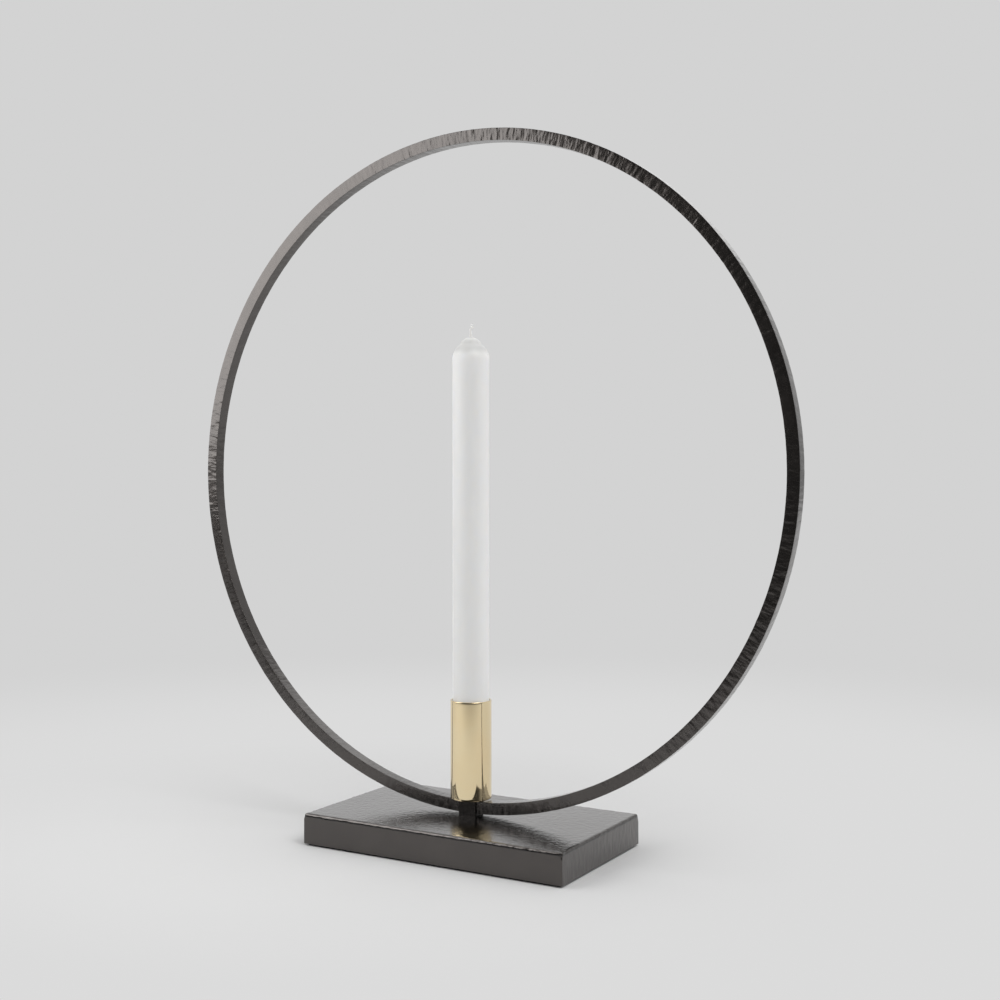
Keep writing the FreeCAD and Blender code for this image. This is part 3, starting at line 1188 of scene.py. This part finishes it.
def softbox(name, place, aim, width, height, brightness):
    """An area lamp whose face shines as brightly as brightness says, where 1 is white."""
    lamp = bpy.data.lights.new(name, "AREA")
    lamp.shape = "RECTANGLE"
    lamp.size, lamp.size_y = width, height
    lamp.energy = brightness * math.pi * width * height
    box = linked(name, lamp)
    box.location = place
    box.rotation_euler = (Vector(aim) - Vector(place)).to_track_quat("-Z", "Y").to_euler()
    box.visible_camera = False


def studio_world():
    """Pale for the camera; in reflections, pale behind the object and dark in front of it."""
    values = stage()
    world = bpy.data.worlds.new("studio")
    bpy.context.scene.world = world
    world.use_nodes = True
    w = Wiring(world.node_tree)
    parts = w.parts(w.node("ShaderNodeTexCoord").outputs["Generated"])
    rise = w.remap(parts["Z"], *ROOM_LINE, values.studio_horizon, values.studio_back)
    for axis, start, end, factor in ROOM_CHANGES:
        rise = w.math("MULTIPLY", rise, w.remap(parts[axis], start, end, 1.0, factor))
    glow = w.math("MULTIPLY_ADD", w.math("SUBTRACT", rise, values.studio_front),
                  w.remap(parts["Y"], *ROOM_BACK), values.studio_front)
    room = w.fed(w.node("ShaderNodeCombineColor"), glow, glow, glow)[0]
    seen = w.mixed(w.node("ShaderNodeLightPath").outputs["Is Camera Ray"], room,
                   colour(values.backdrop))
    w.join(seen, w.first("BACKGROUND").inputs["Color"])


def floor_material(name):
    """Pale matt floor that turns into a glow away from the object.

    The camera sees the glow all round, fading to the backdrop's colour farther out, and
    reflections show it behind the object and to its left.
    """
    values = stage()
    material, w, shader = new_material(name)
    settle(shader, {"Roughness": 0.9, "Specular IOR Level": 0.1})
    parts = w.parts(w.place())
    light_path = w.node("ShaderNodeLightPath").outputs

    def along(x_share, y_share):
        """How far a place lies along a level direction."""
        return w.math("MULTIPLY_ADD", parts["Y"], y_share,
                      w.math("MULTIPLY", parts["X"], x_share))

    # Painted shade: the floor's colour darkens in front of the object
    tinted(w, shader, along(*FLOOR_SHADE_AWAY), FLOOR_SHADE_SPAN, colour(values.floor, FLOOR_SHADE_SHARE),
           colour(values.floor))
    away = w.math("SQRT", w.math("ADD", w.math("POWER", parts["X"], 2.0),
                                 w.math("POWER", parts["Y"], 2.0)))
    far = w.remap(w.math("MULTIPLY_ADD", parts["X"], GLOW_RIGHT_SHARE, away), *GLOW_START)
    past = w.remap(w.math("MAXIMUM", along(*MIRROR_LEFT), parts["Y"]), *MIRROR_START)
    fade = w.math("MULTIPLY", w.remap(away, *GLOW_FADE), light_path["Is Camera Ray"])
    glow = w.node("ShaderNodeEmission")
    w.join(w.mixed(fade, colour(values.backdrop, GLOW_SHARE), colour(values.backdrop)),
           glow.inputs["Color"])
    seen = w.math("MULTIPLY_ADD", past, light_path["Is Glossy Ray"],
                  w.math("MULTIPLY", far, light_path["Is Camera Ray"]))
    mix = w.fed(w.node("ShaderNodeMixShader"), seen, shader.outputs[0], glow.outputs[0])[0]
    w.join(mix, w.first("OUTPUT_MATERIAL").inputs["Surface"])
    return material


class CANDLERING_OT_stage(bpy.types.Operator):
    """Build the floor, the backdrop, the softboxes and the camera"""
    bl_idname = "candlering.stage"
    bl_label = "Stage"

    def execute(self, context):
        values = stage()
        mesh = bpy.data.meshes.new("stage_floor")
        mesh.from_pydata(circle(values.floor_radius, 0, FLOOR_SIDES), [],
                         [tuple(range(FLOOR_SIDES))])
        floor = linked("stage_floor", mesh)
        floor.data.materials.append(floor_material("stage_floor"))
        studio_world()
        for name, (*box, setting, share) in SOFTBOXES.items():
            softbox(name, *box, share * getattr(values, setting))
        camera = bpy.data.cameras.new("camera")
        camera.lens, camera.sensor_width = values.lens, SENSOR_WIDTH
        camera.clip_start = CLIP_START
        seat = linked("camera", camera)
        seat.location = values.camera_place
        seat.rotation_euler = (math.pi / 2 + values.camera_tilt, 0, values.camera_heading)
        context.scene.camera = seat
        context.scene.view_settings.view_transform = "Standard"
        return {"FINISHED"}


OPERATORS = (CANDLERING_OT_stage, CANDLERING_OT_hoop, CANDLERING_OT_foot, CANDLERING_OT_felt,
             CANDLERING_OT_saddle, CANDLERING_OT_cup, CANDLERING_OT_fixings,
             CANDLERING_OT_wax, CANDLERING_OT_wick)


class CANDLERING_PT_panel(bpy.types.Panel):
    """Lists the pieces in the sidebar"""
    bl_label = "Candle Ring"
    bl_idname = "CANDLERING_PT_panel"
    bl_space_type = "VIEW_3D"
    bl_region_type = "UI"
    bl_category = "Candle Ring"

    def draw(self, context):
        for operator in OPERATORS:
            self.layout.operator(operator.bl_idname)
        for values in (shape(), finish(), stage()):
            box = self.layout.box()
            for name in values.__annotations__:
                box.prop(values, name)


GROUPS = (CandleRingShape, CandleRingFinish, CandleRingStage)


def register():
    for kind in GROUPS + OPERATORS + (CANDLERING_PT_panel,):
        bpy.utils.register_class(kind)
    bpy.types.Scene.candle_ring_shape = PointerProperty(type=CandleRingShape)
    bpy.types.Scene.candle_ring_finish = PointerProperty(type=CandleRingFinish)
    bpy.types.Scene.candle_ring_stage = PointerProperty(type=CandleRingStage)


def unregister():
    for name in ("candle_ring_shape", "candle_ring_finish", "candle_ring_stage"):
        delattr(bpy.types.Scene, name)
    for kind in reversed(GROUPS + OPERATORS + (CANDLERING_PT_panel,)):
        bpy.utils.unregister_class(kind)


def main():
    register()
    bpy.ops.candlering.stage()
    bpy.ops.candlering.hoop()
    bpy.ops.candlering.foot()
    bpy.ops.candlering.felt()
    bpy.ops.candlering.saddle()
    bpy.ops.candlering.cup()
    bpy.ops.candlering.fixings()
    bpy.ops.candlering.wax()
    bpy.ops.candlering.wick()


if __name__ == "__main__":
    main()
